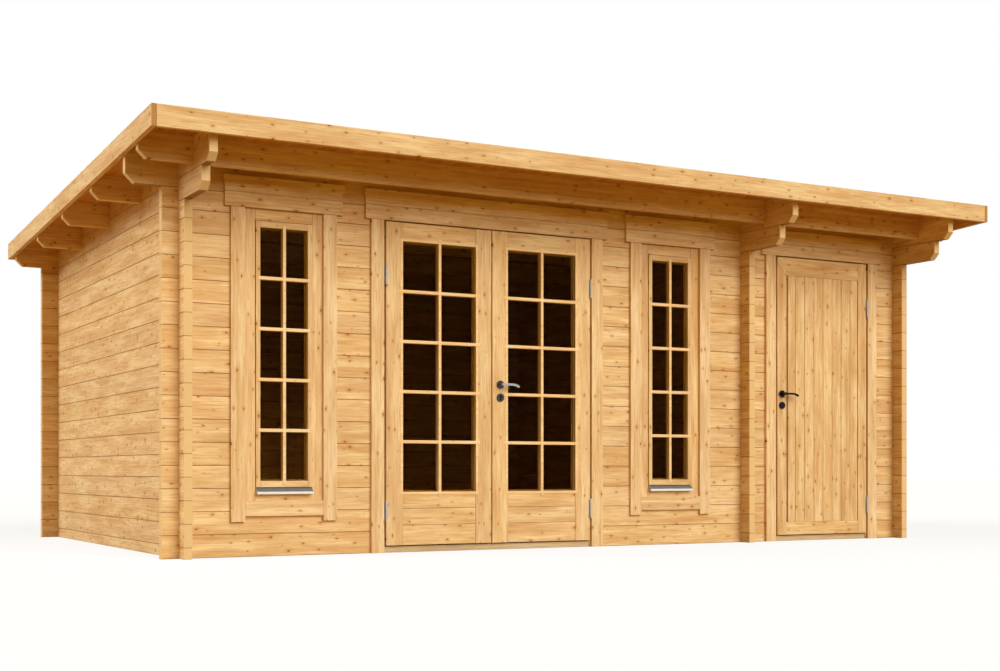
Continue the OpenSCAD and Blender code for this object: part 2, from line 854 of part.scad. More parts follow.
module left_door_glass() { color(clear, 0.4) shed() leaf_pane(left_leaf_x, 0); }

module right_door_leaf() {
    color(pine) shed() difference() {
        glazed_leaf(right_leaf_x);
        spindle_hole(right_handle_x);
    }
}

module right_door_boards() { color(pine) shed() kick_board_stack(right_leaf_x); }

module right_door_glass() { color(clear, 0.4) shed() leaf_pane(right_leaf_x, 0); }

// Boarded panel of the store door, held in a groove of the stiles and rails
module store_panel(grow) {
    y = leaf_front + (leaf_t - store_board_t) / 2;
    reach = glass_groove - fit;
    block([store_leaf_x + store_stile - reach - grow, y - grow, leaf_bottom + store_rail - reach - grow],
        [store_leaf_x + store_leaf_w - store_stile + reach + grow, y + store_board_t + grow,
            leaf_top - store_rail + reach + grow]);
}

module store_door_leaf() {
    color(pine) shed() difference() {
        union() {
            leaf_stiles(store_leaf_x, store_leaf_w, store_stile);
            leaf_rail(store_leaf_x, store_leaf_w, store_stile, leaf_bottom, leaf_bottom + store_rail);
            leaf_rail(store_leaf_x, store_leaf_w, store_stile, leaf_top - store_rail, leaf_top);
        }
        store_panel(fit);
        spindle_hole(store_handle_x);
    }
}

module store_door_panel() { color(pine) shed() store_panel(0); }

// ---------- Handles ----------

neck_d = lever_d + 5;      // diameter of the neck between rose and lever
spindle_d = 10;            // diameter of the spindle through the leaf
lever_flat = 11;           // thickness of the lever across its bend
lever_inset = 2;           // step from the neck's end to the lever's face
lever_bend = 32;           // turn of the lever's end, in degrees
lever_bend_r = 85;         // radius of that bend
lever_tip_d = lever_d - 0.4;   // diameter of the lever's rounded end

// A disc on the outer or the inner face of a leaf
module rose(x, z, outside) {
    y = outside ? leaf_front - fit : leaf_back + fit + rose_t;
    translate([x, y, z]) rotate([90, 0, 0]) cylinder(d = rose_d, h = rose_t);
}

// Roses of a handle at x on both faces, bored for the lever's neck, and keyhole roses
module roses(x) {
    difference() {
        for (outside = [true, false]) {
            rose(x, handle_h, outside);
            rose(x, handle_h - keyhole_drop, outside);
        }
        translate([x, leaf_back + 2 * over, handle_h]) rotate([90, 0, 0])
            cylinder(d = neck_d + 2 * turn_fit, h = leaf_t + 4 * over);
    }
}

// Side of a lever: straight from the neck, then bent down to its rounded end
module lever_outline() {
    straight = lever_l - lever_bend_r * sin(lever_bend);
    translate([0, -lever_d / 2]) square([straight, lever_d]);
    translate([straight, -lever_bend_r]) intersection() {
        difference() {
            circle(r = lever_bend_r + lever_d / 2);
            circle(r = lever_bend_r - lever_d / 2);
        }
        polygon([[0, 0], [0, 2 * lever_bend_r],
            [2 * lever_bend_r * sin(lever_bend), 2 * lever_bend_r * cos(lever_bend)]]);
    }
    translate([lever_l, lever_bend_r * (cos(lever_bend) - 1)]) circle(d = lever_tip_d);
}

// Outer and inner lever on one spindle, both pointing along +X
module lever(x) {
    outer = leaf_front - fit - rose_t - lever_out;
    inner = leaf_back + fit + rose_t + lever_out;
    union() {
        translate([x, inner, handle_h]) rotate([90, 0, 0]) cylinder(d = neck_d, h = lever_out + rose_t);
        translate([x, outer, handle_h]) rotate([-90, 0, 0]) cylinder(d = neck_d, h = lever_out + rose_t);
        translate([x, inner - over, handle_h]) rotate([90, 0, 0])
            cylinder(d = spindle_d, h = inner - outer - 2 * over);
        for (y = [outer + lever_flat + lever_inset, inner - lever_inset])
            translate([x, y, handle_h]) rotate([90, 0, 0]) linear_extrude(lever_flat) lever_outline();
    }
}

module right_door_roses() { color(nickel) shed() roses(right_handle_x); }

module right_door_lever() { color(nickel) shed() lever(right_handle_x); }

module store_door_roses() { color(black_iron) shed() roses(store_handle_x); }

module store_door_lever() { color(black_iron) shed() lever(store_handle_x); }

front_wall_left_base();
front_wall_left_corner();
front_wall_left_pier();
front_wall_right_base();
front_wall_right_pier();
front_wall_store_pier();
front_wall_end_pier();
front_wall_head_log();
front_wall_beam();
left_wall();
partition_wall();
right_wall();
back_wall();
purlins();
roof_boards();
roof_felt();
roof_fascias();
floor_joists();
main_floor();
store_floor();
left_window_frame();
left_window_sash();
left_window_glass();
left_window_casing();
right_window_frame();
right_window_sash();
right_window_glass();
right_window_casing();
window_sills();
double_door_frame();
double_door_casing();
store_door_frame();
store_door_casing();
thresholds();
hinge_pins();
left_door_leaf();
left_door_boards();
left_door_glass();
left_door_hinges();
right_door_leaf();
right_door_boards();
right_door_glass();
right_door_hinges();
right_door_roses();
right_door_lever();
store_door_leaf();
store_door_panel();
store_door_hinges();
store_door_roses();
store_door_lever();
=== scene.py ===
# Log cabin garden shed: the finish of every log, board, pane and fitting, and the small
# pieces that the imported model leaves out, such as roof boards, felt strips and glazing bars.
import functools
import math

import bmesh
import bpy
from mathutils import Matrix, Vector


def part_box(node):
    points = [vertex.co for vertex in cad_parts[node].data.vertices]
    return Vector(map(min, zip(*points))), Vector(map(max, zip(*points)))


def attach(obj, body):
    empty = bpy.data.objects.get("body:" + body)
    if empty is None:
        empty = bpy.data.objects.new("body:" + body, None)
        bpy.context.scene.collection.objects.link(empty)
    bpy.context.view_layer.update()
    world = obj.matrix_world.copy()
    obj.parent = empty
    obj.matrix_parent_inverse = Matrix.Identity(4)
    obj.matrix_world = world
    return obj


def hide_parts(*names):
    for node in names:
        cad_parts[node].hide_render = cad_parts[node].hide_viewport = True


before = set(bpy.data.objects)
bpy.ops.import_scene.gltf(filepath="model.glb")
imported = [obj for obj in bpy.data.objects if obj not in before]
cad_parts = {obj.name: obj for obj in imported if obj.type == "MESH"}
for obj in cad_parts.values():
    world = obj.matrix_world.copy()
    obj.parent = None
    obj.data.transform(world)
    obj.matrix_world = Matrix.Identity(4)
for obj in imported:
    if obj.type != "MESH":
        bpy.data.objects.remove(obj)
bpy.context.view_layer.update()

# ---------- Log walls ----------
# The walls are interlocking pine logs, planed on all sides, with a V groove at each joint.
# They are laid dry, one course on the other, and notched where they cross. A honey stain
# leaves the grain and the knots in view, and gathers in the grooves.


def linear(shade):
    """The linear colour, with alpha, of an sRGB hex value such as "#d9a765"."""
    parts = [int(shade[i : i + 2], 16) / 255 for i in (1, 3, 5)]
    return [c / 12.92 if c <= 0.04045 else ((c + 0.055) / 1.055) ** 2.4 for c in parts] + [1.0]


def add_node(tree, kind, inputs=None, **settings):
    """Adds a shader node. An input is a value, an sRGB hex colour, a socket, or a node, whose
    first live output it takes. Inputs go by name or number: a map range takes 1 to 3 and 2 to
    4, and a mix goes by the share 0 from 2 to 3, or for two colours from 6 to 7."""
    made = tree.nodes.new("ShaderNode" + kind)
    for name, value in settings.items():
        setattr(made, name, value)
    for socket, value in (inputs or {}).items():
        if isinstance(value, str):
            value = linear(value)
        if isinstance(value, bpy.types.Node):
            value = [output for output in value.outputs if output.enabled][0]
        if isinstance(value, bpy.types.NodeSocket):
            tree.links.new(value, made.inputs[socket])
        else:
            made.inputs[socket].default_value = value
    return made


def emptied(shaded):
    """Empties the node tree of a new material or world, and gives add_node for that tree."""
    shaded.use_nodes = True
    shaded.node_tree.nodes.clear()
    return functools.partial(add_node, shaded.node_tree)


def pine(name, run, stack, start, pitch, last=1000, rows=(0.0, 100.0), stepped=None, sides=None,
         mitre=None, joint=0.0,
         shades=("#f3d6a1", "#e6c08a", "#be8648"), end_shade="#e6c58d", knots=1.0, seed=0):
    """Stained pine whose grain runs along axis run, in members stacked along axis stack every
    pitch metres from start, the one numbered last taking all that is left, and in rows
    (first face, spacing) along the third axis. A pitch or spacing longer than the piece, from
    a start below it, makes it one member. joint is the width of the dark line along each joint
    from the start to the last: stain in grooves and joints, and painted shade along the window
    frames and casings.
    stepped = (from, by): past that place the members lie closer to start by that much.
    sides = (middle x, half the width between them, their width, their top) are upright members
    in the same piece; "Y" as the top makes them run front to back, as the roof's end boards do.
    mitre = (foot, head) are the heights of a mitre at the top of the left one."""
    paint = bpy.data.materials.new(name)
    add = emptied(paint)
    place = add("TexCoord").outputs
    axis = add("SeparateXYZ", {0: place["Object"]}).outputs
    facing = add("SeparateXYZ", {0: place["Normal"]}).outputs
    third = [a for a in "XYZ" if a not in (run, stack)][0]
    along = axis[run]

    # Which member this is, and the place across and into it. Numbers in two rows are well
    # apart, and the two upright members have the numbers 47 and 53.
    row_numbers = 31.0
    upright_numbers = 50.0
    upright_apart = 3.0
    stacked = axis[stack]
    if stepped:
        past = add("Math", {0: stacked, 1: stepped[0]}, operation="GREATER_THAN")
        stacked = add("Math", {0: past, 1: stepped[1], 2: stacked}, operation="MULTIPLY_ADD")
    stacked = add("Math", {0: stacked, 1: start}, operation="SUBTRACT")
    stacked = add("Math", {0: stacked, 1: pitch}, operation="DIVIDE")
    member = add("Math", {0: stacked}, operation="FLOOR")
    member = add("Math", {0: member, 1: last}, operation="MINIMUM")
    across = add("Math", {0: stacked, 1: member}, operation="SUBTRACT")
    across = add("Math", {0: across, 1: 0.5}, operation="SUBTRACT")
    across = add("Math", {0: across, 1: pitch}, operation="MULTIPLY")
    row = add("Math", {0: axis[third], 1: rows[0]}, operation="SUBTRACT")
    row = add("Math", {0: row, 1: rows[1]}, operation="DIVIDE")
    into = add("Math", {0: row}, operation="FRACT")
    into = add("Math", {0: into, 1: rows[1]}, operation="MULTIPLY")
    row = add("Math", {0: row}, operation="FLOOR")
    member = add("Math", {0: row, 1: row_numbers, 2: member}, operation="MULTIPLY_ADD")
    end_face = add("Math", {0: facing[run]}, operation="ABSOLUTE")
    from_joint = add("Math", {0: across}, operation="ABSOLUTE")
    from_joint = add("Math", {0: pitch / 2, 1: from_joint}, operation="SUBTRACT")
    if sides:
        middle, half, width, top = sides
        off = add("Math", {0: axis["X"], 1: middle}, operation="SUBTRACT")
        hand = add("Math", {0: off}, operation="SIGN")
        hand = add("Math", {0: hand, 1: upright_apart, 2: upright_numbers},
                   operation="MULTIPLY_ADD")
        off = add("Math", {0: off}, operation="ABSOLUTE")
        off = add("Math", {0: off, 1: half}, operation="SUBTRACT")
        if mitre:
            cut = add("MapRange", {0: axis["Z"], 1: mitre[0], 2: mitre[1], 3: 0.0, 4: width})
            left = add("Math", {0: axis["X"], 1: middle}, operation="LESS_THAN")
            cut = add("Math", {0: cut, 1: left}, operation="MULTIPLY")
            off = add("Math", {0: off, 1: cut}, operation="SUBTRACT")
        aside = add("Math", {0: off, 1: 0.0}, operation="GREATER_THAN")
        side_run = "Y" if top == "Y" else "Z"
        if side_run == "Z":
            below = add("Math", {0: axis["Z"], 1: top}, operation="LESS_THAN")
            aside = add("Math", {0: aside, 1: below}, operation="MULTIPLY")
            from_joint = add("Mix", {0: aside, 2: from_joint, 3: off})
            off = add("Math", {0: off, 1: width / 2}, operation="SUBTRACT")
            across = add("Mix", {0: aside, 2: across, 3: off})
        else:
            into = add("Mix", {0: aside, 2: into, 3: off})
        along = add("Mix", {0: aside, 2: along, 3: axis[side_run]})
        member = add("Mix", {0: aside, 2: member, 3: hand})
        end_side = add("Math", {0: facing[side_run]}, operation="ABSOLUTE")
        end_face = add("Mix", {0: aside, 2: end_face, 3: end_side})

    # Each member is cut from another place in the trunk
    seed_step = 0.37
    between_whole = 0.5
    trunk_length = 23.0
    pith_shift = 0.09
    heart_shift = 0.05
    heart_least = 0.045
    member = add("Math", {0: member, 1: seed * seed_step + between_whole}, operation="ADD")
    chance = add("TexWhiteNoise", {"W": member}, noise_dimensions="1D")
    trunk = add("SeparateXYZ", {0: chance.outputs["Color"]}).outputs
    along = add("Math", {0: trunk[0], 1: trunk_length, 2: along}, operation="MULTIPLY_ADD")
    pith = add("Math", {0: trunk[1], 1: 0.5}, operation="SUBTRACT")
    pith = add("Math", {0: pith, 1: pith_shift, 2: across}, operation="MULTIPLY_ADD")
    heart = add("Math", {0: trunk[2], 1: heart_shift, 2: into}, operation="MULTIPLY_ADD")
    heart = add("Math", {0: heart, 1: heart_least}, operation="ADD")

    # Knots, the largest 12 mm wide and 22 mm long, at half of 150 places to a square metre, and
    # pin knots at the rest. A branch runs through the whole member, so it shows at the same
    # place on both faces and as a spike on the edges between them.
    knot_cell = 0.06
    knot_stretch = 0.55
    members_apart = 9.0
    pin_share = 0.44
    pin_knot = 0.01
    largest_knot = 0.1 * knots
    dark_core = 0.4
    halo_reach = 3.8
    grain_bend = 0.85
    branch = add("Math", {0: along, 1: knot_stretch}, operation="MULTIPLY")
    spread = add("Math", {0: chance.outputs["Value"], 1: members_apart, 2: across},
                 operation="MULTIPLY_ADD")
    branch = add("CombineXYZ", {0: branch, 1: spread})
    cells = add("TexVoronoi", {"Vector": branch, "Scale": 1 / knot_cell}, voronoi_dimensions="2D")
    luck = add("SeparateColor", {0: cells.outputs["Color"]})
    size = add("MapRange", {0: luck, 1: pin_share, 2: 1.0, 3: pin_knot, 4: largest_knot})
    core = add("Math", {0: size, 1: dark_core}, operation="MULTIPLY")
    from_knot = cells.outputs["Distance"]
    knot = add("MapRange", {0: from_knot, 1: core, 2: size, 3: 1.0, 4: 0.0})
    reach = add("Math", {0: size, 1: halo_reach}, operation="MULTIPLY")
    halo = add("MapRange", {0: from_knot, 1: 0.0, 2: reach, 3: 1.0, 4: 0.0},
               interpolation_type="SMOOTHSTEP")

    # The grain bends round each knot
    away = add("VectorMath", {0: branch, 1: cells.outputs["Position"]}, operation="SUBTRACT")
    away = add("SeparateXYZ", {0: away}).outputs
    push = add("Math", {0: halo, 1: -grain_bend}, operation="MULTIPLY")
    pith = add("Math", {0: away[1], 1: push, 2: pith}, operation="MULTIPLY_ADD")

    # Year rings, 3 mm apart in the tree and drawn 10 mm apart to show from a distance
    ring_stretch = 0.045
    drawn = add("Math", {0: along, 1: ring_stretch}, operation="MULTIPLY")
    rings_at = add("CombineXYZ", {0: drawn, 1: pith, 2: heart})
    rings = add("TexWave",
                {"Vector": rings_at, "Scale": 31.0, "Distortion": 5.0, "Detail": 2.0,
                 "Detail Scale": 0.45}, wave_type="RINGS", rings_direction="X").outputs["Fac"]

    # Three noises, drawn out along the grain: fine streaks, figure and soft clouds
    noises = []
    for stretch, scale, detail, roughness in ((0.5, 150.0, 3.0, 0.65), (1.6, 105.0, 3.0, 0.65),
                                              (3.0, 16.0, 2.0, 0.5)):
        at = add("VectorMath", {0: rings_at, 1: (stretch, 1.0, 1.0)}, operation="MULTIPLY")
        noises.append(add("TexNoise", {"Vector": at, "Scale": scale, "Detail": detail,
                                       "Roughness": roughness}))
    streaks, figure, clouds = noises

    # The pale wood, then what darkens it: rings, fine streaks, figure, the halo of a knot, a knot
    ring_strength = 0.36
    halo_strength = 0.5
    cloudy = add("MapRange", {0: clouds, 1: 0.36, 2: 0.64})
    ringed = add("Math", {0: rings, 1: cloudy}, operation="MULTIPLY")
    ringed = add("Math", {0: ringed, 1: ring_strength}, operation="MULTIPLY")
    fine = add("MapRange", {0: streaks, 1: 0.4, 2: 0.72, 3: 0.0, 4: 0.36})
    mottled = add("MapRange", {0: figure, 1: 0.46, 2: 0.72, 3: 0.0, 4: 0.5})
    glow = add("Math", {0: halo, 1: halo_strength}, operation="MULTIPLY")
    wood = add("Mix", {0: cloudy, 6: shades[0], 7: shades[1]}, data_type="RGBA")
    for share, shade in ((ringed, shades[2]), (fine, shades[2]), (mottled, shades[2]),
                         (glow, "#c07f38"), (knot, "#885320")):
        wood = add("Mix", {0: share, 6: wood, 7: shade}, data_type="RGBA")

    # End grain shows on square and slanting cuts
    end_contrast = 0.35
    end_slant = 0.6
    ring_end = add("Math", {0: rings, 1: end_contrast}, operation="MULTIPLY")
    cut_end = add("Mix", {0: ring_end, 6: end_shade, 7: shades[1]}, data_type="RGBA")
    smudged = add("Math", {0: mottled, 1: end_contrast}, operation="MULTIPLY")
    cut_end = add("Mix", {0: smudged, 6: cut_end, 7: shades[2]}, data_type="RGBA")
    is_end = add("Math", {0: end_face, 1: end_slant}, operation="GREATER_THAN")
    wood = add("Mix", {0: is_end, 6: wood, 7: cut_end}, data_type="RGBA")
    # A dark line along each joint: stain in the grooves, and painted shade along window frames and
    # casings
    if joint:
        joint_strength = 0.75
        edge = add("MapRange", {0: from_joint, 1: 0.0, 2: joint, 3: joint_strength, 4: 0.0})
        jointed = add("Math", {0: stacked, 1: last / 2, 2: last / 2 + 0.5}, operation="COMPARE")
        edge = add("Math", {0: edge, 1: jointed}, operation="MULTIPLY")
        wood = add("Mix", {0: edge, 6: wood, 7: "#7a4819"}, data_type="RGBA")
    tone = add("MapRange", {0: chance.outputs["Value"], 3: 0.96, 4: 1.03})
    warmth = add("MapRange", {0: trunk[1], 3: 0.97, 4: 1.03})
    wood = add("HueSaturation", {"Value": tone, "Saturation": warmth, "Color": wood})

    streak_depth = 0.7
    relief = add("Math", {0: streaks, 1: streak_depth, 2: ringed}, operation="MULTIPLY_ADD")
    relief = add("Math", {0: relief, 1: knot}, operation="SUBTRACT")
    bump = add("Bump", {"Strength": 0.35, "Distance": 0.0008, "Height": relief})
    rough = add("MapRange", {0: streaks, 3: 0.52, 4: 0.74})
    skin = add("BsdfPrincipled",
               {"Base Color": wood, "Roughness": rough, "Normal": bump, "IOR": 1.45,
                "Specular IOR Level": 0.15})
    add("OutputMaterial", {"Surface": skin})
    return paint


def finish(names, paint):
    """Gives CAD nodes a finish."""
    for name in names:
        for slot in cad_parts[name].material_slots:
            slot.material = paint


def soften(names, width):
    """Breaks the sharp edges of CAD nodes, as planed timber and formed metal have them."""
    for name in names:
        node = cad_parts[name]
        node.modifiers.new("weld", "WELD").merge_threshold = 0.00002
        flat = node.modifiers.new("flat", "DECIMATE")
        flat.decimate_type = "DISSOLVE"
        flat.angle_limit = math.radians(0.5)
        broken = node.modifiers.new("edges", "BEVEL")
        broken.width = width
        broken.segments = 2
        broken.limit_method = "ANGLE"
        broken.angle_limit = math.radians(40)


head_low, head_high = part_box("front_wall_head_log")
beam_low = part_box("front_wall_beam")[0]
wall_front = head_low.y
log_thickness = head_high.y - head_low.y
course = 0.133
head_course = 15
groove_stain = 0.0035
line_lap = 0.006

# The front beam lies a little lower than a full course, and so do the two corbel logs
beam_lowered = course * (head_course + 1) - beam_low.z
corbel_lowered = 0.026
front_logs = pine("honey-stained pine, front logs", "X", "Z", 0.0, course, last=head_course + 1,
                  stepped=(beam_low.z - line_lap, beam_lowered), joint=groove_stain, seed=1)
finish(["front_wall_left_base", "front_wall_left_corner", "front_wall_left_pier",
        "front_wall_right_base", "front_wall_right_pier", "front_wall_store_pier",
        "front_wall_end_pier", "front_wall_head_log", "front_wall_beam"], front_logs)
back_logs = pine("honey-stained pine, back logs", "X", "Z", 0.0, course, last=head_course,
                 joint=groove_stain, seed=3)
finish(["back_wall"], back_logs)
corbels_from = course * (head_course + 0.5) - corbel_lowered
for seed, name in enumerate(["left_wall", "partition_wall", "right_wall"], 5):
    wall_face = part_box(name)[0].x
    side_logs = pine("honey-stained pine, " + name.replace("_", " "), "Y", "Z", course / 2, course,
                     last=head_course + 1, rows=(wall_face, 5.0),
                     stepped=(corbels_from - line_lap, corbel_lowered), joint=groove_stain,
                     seed=seed)
    finish([name], side_logs)

# ---------- Floor ----------
# Pressure-treated joists lie on the ground between the walls. Tongued floor boards are
# nailed across them, from the front wall to the back wall, a thin V at each joint.


def only(piece):
    """Selects this piece alone and makes it active."""
    bpy.ops.object.select_all(action="DESELECT")
    piece.select_set(True)
    bpy.context.view_layer.objects.active = piece


def bar(name, low, high, edge=0.0, segments=1):
    """A planed bar between two corners, its edges broken to the width edge."""
    low, high = Vector(low), Vector(high)
    bpy.ops.mesh.primitive_cube_add(size=1, location=(low + high) / 2)
    made = bpy.context.object
    made.name = name
    made.scale = high - low
    only(made)
    bpy.ops.object.transform_apply(location=True, rotation=False, scale=True)
    if edge:
        bpy.ops.object.mode_set(mode="EDIT")
        bpy.ops.mesh.select_all(action="SELECT")
        bpy.ops.mesh.bevel(offset=edge, segments=segments, affect="EDGES")
        bpy.ops.object.mode_set(mode="OBJECT")
    return made


def copies(piece, moves):
    """The piece and a copy of it, with its own mesh, for each of the moves."""
    made = [piece]
    for move in moves:
        twin = piece.copy()
        twin.data = piece.data.copy()
        twin.data.transform(Matrix.Translation(move))
        bpy.context.collection.objects.link(twin)
        made.append(twin)
    return made


def joined(name, pieces):
    """The pieces as one mesh."""
    only(pieces[0])
    for piece in pieces:
        piece.select_set(True)
    bpy.ops.object.join()
    pieces[0].name = name
    pieces[0].data.name = name
    return pieces[0]


def carried(piece, paint, body, slot, *stands_for):
    """Paints a finished piece and fixes it to the body that carries it."""
    piece.data.materials.clear()
    piece.data.materials.append(paint)
    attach(piece, body)
    if stands_for:
        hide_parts(*stands_for)


joist_pitch = 0.3
floor_board = 0.095
board_joint = 0.0015
treated = pine("green-brown treated pine, joists", "X", "Y", 0.0, joist_pitch,
               shades=("#a98a55", "#8e7340", "#6c5630"), end_shade="#9a7f4c", seed=11)
finish(["floor_joists"], treated)
for room, seed in (("main_floor", 13), ("store_floor", 14)):
    low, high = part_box(room)
    count = round((high.x - low.x) / floor_board)
    width = (high.x - low.x) / count
    board = bar(room + "_board", low, (low.x + width, high.y, high.z), board_joint)
    boards = joined(room + "_boards", copies(board, [(i * width, 0, 0) for i in range(1, count)]))
    laid = pine("planed pine, " + room.replace("_", " "), "Y", "X", low.x, width, rows=(low.z, 1.0),
                shades=("#efcf9d", "#e0b77d", "#c4945a"), seed=seed)
    carried(boards, laid, "cabin", "pine_floor", room)

# ---------- Purlins and roof boards ----------
# Pine purlins run the length of the roof, let into the side walls and the partition.
# Tongued boards are nailed on them from front to back, their V joints facing down.

purlin_low, purlin_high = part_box("purlins")
board_low, board_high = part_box("roof_boards")
felt_low, felt_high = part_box("roof_felt")
roof_run = board_high.y - board_low.y
under_felt = 0.0003
roof_thickness = felt_low.z - board_low.z - under_felt
roof_drop = board_high.z - roof_thickness - board_low.z
purlin_rows = 5
purlin_gap = (purlin_high.y - purlin_low.y - log_thickness) / (purlin_rows - 1)

purlin_pine = pine("honey-stained pine, purlins", "X", "Z", purlin_low.z - 0.2, 1.0,
                   rows=(purlin_low.y - purlin_gap / 2, purlin_gap), seed=21)
finish(["purlins"], purlin_pine)

roof_board = 0.096
roof_board_edge = 0.0025
near = 0.001
count = round((board_high.x - board_low.x) / roof_board)
width = (board_high.x - board_low.x) / count
board = bar("roof_board", (board_low.x, board_low.y, board_high.z - roof_thickness),
            (board_low.x + width, board_high.y, board_high.z))
bpy.ops.object.mode_set(mode="EDIT")
bpy.ops.mesh.select_all(action="DESELECT")
shape = bmesh.from_edit_mesh(board.data)
for vertex in shape.verts:
    vertex.select = vertex.co.y > board_high.y - near
shape.select_flush(True)
bmesh.update_edit_mesh(board.data)
bpy.ops.transform.translate(value=(0, 0, -roof_drop))
bpy.ops.mesh.select_all(action="SELECT")
bpy.ops.mesh.bevel(offset=roof_board_edge, segments=1, affect="EDGES")
bpy.ops.object.mode_set(mode="OBJECT")
boards = joined("roof_boarding", copies(board, [(i * width, 0, 0) for i in range(1, count)]))
# The roof boards' shades are darker and more saturated than the other pine's: painted shade for the
# underside of the roof
roof_pine = pine("planed pine, roof boards", "Y", "X", board_low.x, width,
                 rows=(board_low.z - 1, 5.0), shades=("#d9a250", "#c98c3b", "#ad7028"), seed=23)
carried(boards, roof_pine, "cabin", "pine_roof", "roof_boards")

# ---------- Roofing felt ----------
# Mineral felt from one-metre rolls covers the boards. Each upper strip laps over the one
# below it, towards the back, and is nailed there with large-headed zinc nails.

felt_thickness = 0.003
lap = 0.09
lap_rise = 0.01
strips = 4
felt_run = felt_high.y - felt_low.y
strip_run = (felt_run - lap) / strips
slope = roof_drop / roof_run


def felt_foot(y):
    """Height of the felt's underside at y."""
    return felt_high.z - felt_thickness - (y - felt_low.y) * slope


def felt_strip(number):
    """One strip of felt, which lifts over the strip behind it along its lap."""
    y0 = felt_low.y + number * strip_run
    lift = 0 if number == strips - 1 else felt_thickness
    profile = [(y0, 0.0), (y0 + strip_run - lap_rise, 0.0), (y0 + strip_run, lift),
               (y0 + strip_run + lap, lift)]
    bpy.ops.mesh.primitive_plane_add(size=1)
    strip = bpy.context.object
    strip.name = "felt_strip"
    only(strip)
    bpy.ops.object.mode_set(mode="EDIT")
    bpy.ops.mesh.select_all(action="SELECT")
    bpy.ops.mesh.delete(type="ONLY_FACE")
    shape = bmesh.from_edit_mesh(strip.data)
    for vertex in shape.verts:
        vertex.co.x = felt_low.x if vertex.co.x < 0 else felt_high.x
        vertex.co.z = felt_foot(y0)
    bmesh.ops.delete(shape, geom=[v for v in shape.verts if v.co.y > 0], context="VERTS")
    for vertex in shape.verts:
        vertex.co.y = y0
    bmesh.update_edit_mesh(strip.data)
    bpy.ops.mesh.select_all(action="SELECT")
    for (y, up), (y_next, up_next) in zip(profile, profile[1:]):
        step = (0, y_next - y, felt_foot(y_next) - felt_foot(y) + up_next - up)
        bpy.ops.mesh.extrude_region_move(TRANSFORM_OT_translate={"value": step})
    bpy.ops.mesh.select_all(action="SELECT")
    bpy.ops.mesh.normals_make_consistent(inside=False)
    bpy.ops.object.mode_set(mode="OBJECT")
    thick = strip.modifiers.new("thickness", "SOLIDIFY")
    thick.thickness = felt_thickness
    thick.offset = 1.0 if strip.data.polygons[0].normal.z > 0 else -1.0
    bpy.ops.object.modifier_apply(modifier="thickness")
    return strip


mineral = bpy.data.materials.new("bitumen felt with slate granules")
add = emptied(mineral)
place = add("TexCoord").outputs["Object"]
grit = add("TexVoronoi", {"Vector": place, "Scale": 420.0})
patch = add("TexNoise", {"Vector": place, "Scale": 3.0, "Detail": 4.0})
speck = add("SeparateColor", {0: grit.outputs["Color"]})
dark = add("Mix", {0: speck, 6: "#2c2e2f", 7: "#565a5c"}, data_type="RGBA")
worn = add("MapRange", {0: patch, 1: 0.4, 2: 0.7, 3: 0.0, 4: 0.35})
dark = add("Mix", {0: worn, 6: dark, 7: "#6a6d6c"}, data_type="RGBA")
bump = add("Bump", {"Strength": 0.6, "Distance": 0.001, "Height": grit.outputs["Distance"]})
skin = add("BsdfPrincipled", {"Base Color": dark, "Roughness": 0.9, "Normal": bump})
add("OutputMaterial", {"Surface": skin})

felt = joined("roof_felt_strips", [felt_strip(number) for number in range(strips)])
carried(felt, mineral, "cabin", "roofing_felt", "roof_felt")

zinc_nails = bpy.data.materials.new("galvanised steel")
add = emptied(zinc_nails)
place = add("TexCoord").outputs["Object"]
spangle = add("TexVoronoi", {"Vector": place, "Scale": 160.0})
flake = add("SeparateColor", {0: spangle.outputs["Color"]})
grey = add("Mix", {0: flake, 6: "#a3a8ac", 7: "#c9cdd0"}, data_type="RGBA")
rough = add("MapRange", {0: flake, 3: 0.3, 4: 0.46})
skin = add("BsdfPrincipled", {"Base Color": grey, "Metallic": 1.0, "Roughness": rough})
add("OutputMaterial", {"Surface": skin})

nail_head = 0.011
nail_thickness = 0.0016
nail_rim = nail_head * 0.2
nail_dome = 0.0006
nail_gap = 0.15
nail_row = felt_low.y + strip_run + lap * 0.6
nail_foot = felt_foot(nail_row) + 2 * felt_thickness
bpy.ops.mesh.primitive_cylinder_add(
    vertices=8, radius=nail_head / 2, depth=nail_thickness,
    location=(felt_low.x + nail_gap / 2, nail_row, nail_foot + nail_thickness / 2))
nail = bpy.context.object
only(nail)
bpy.ops.object.transform_apply(location=True, rotation=False, scale=False)
bpy.ops.object.mode_set(mode="EDIT")
bpy.ops.mesh.select_all(action="DESELECT")
shape = bmesh.from_edit_mesh(nail.data)
for face in shape.faces:
    face.select = face.normal.z > 0.5
bmesh.update_edit_mesh(nail.data)
bpy.ops.mesh.inset(thickness=nail_rim, depth=nail_dome)
bpy.ops.object.mode_set(mode="OBJECT")
moves = []
for strip in range(strips - 1):
    for number in range(int((felt_high.x - felt_low.x) / nail_gap)):
        if strip or number:
            moves.append((number * nail_gap, strip * strip_run, -strip * strip_run * slope))
nails = joined("felt_nails", copies(nail, moves))
carried(nails, zinc_nails, "cabin", "zinc")

# ---------- Roof edge boards ----------
# Planed pine boards close the roof's edge on four sides and stand above the felt. The side
# boards run past the ends of the front board, so that their end grain shows at the corners.

edge_low, edge_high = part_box("roof_fascias")
edge_thickness = board_low.x - edge_low.x
edge_middle = (edge_low.x + edge_high.x) / 2
edge_half = edge_high.x - edge_middle - edge_thickness
edge_pine = pine("honey-stained pine, roof edge", "X", "Z", edge_low.z - 0.3, 2.0,
                 rows=(edge_low.y - 0.1, 2.5), sides=(edge_middle, edge_half, edge_thickness, "Y"),
                 end_shade="#a8763c", seed=32)
finish(["roof_fascias"], edge_pine)
planed_edge = 0.002
soften(["roof_fascias"], planed_edge)

# ---------- Frames and casings ----------
# Window and door frames of planed pine are set in the openings. Casing boards cover the gap
# between frame and logs, with a head board, a drip board and its lath over each opening.


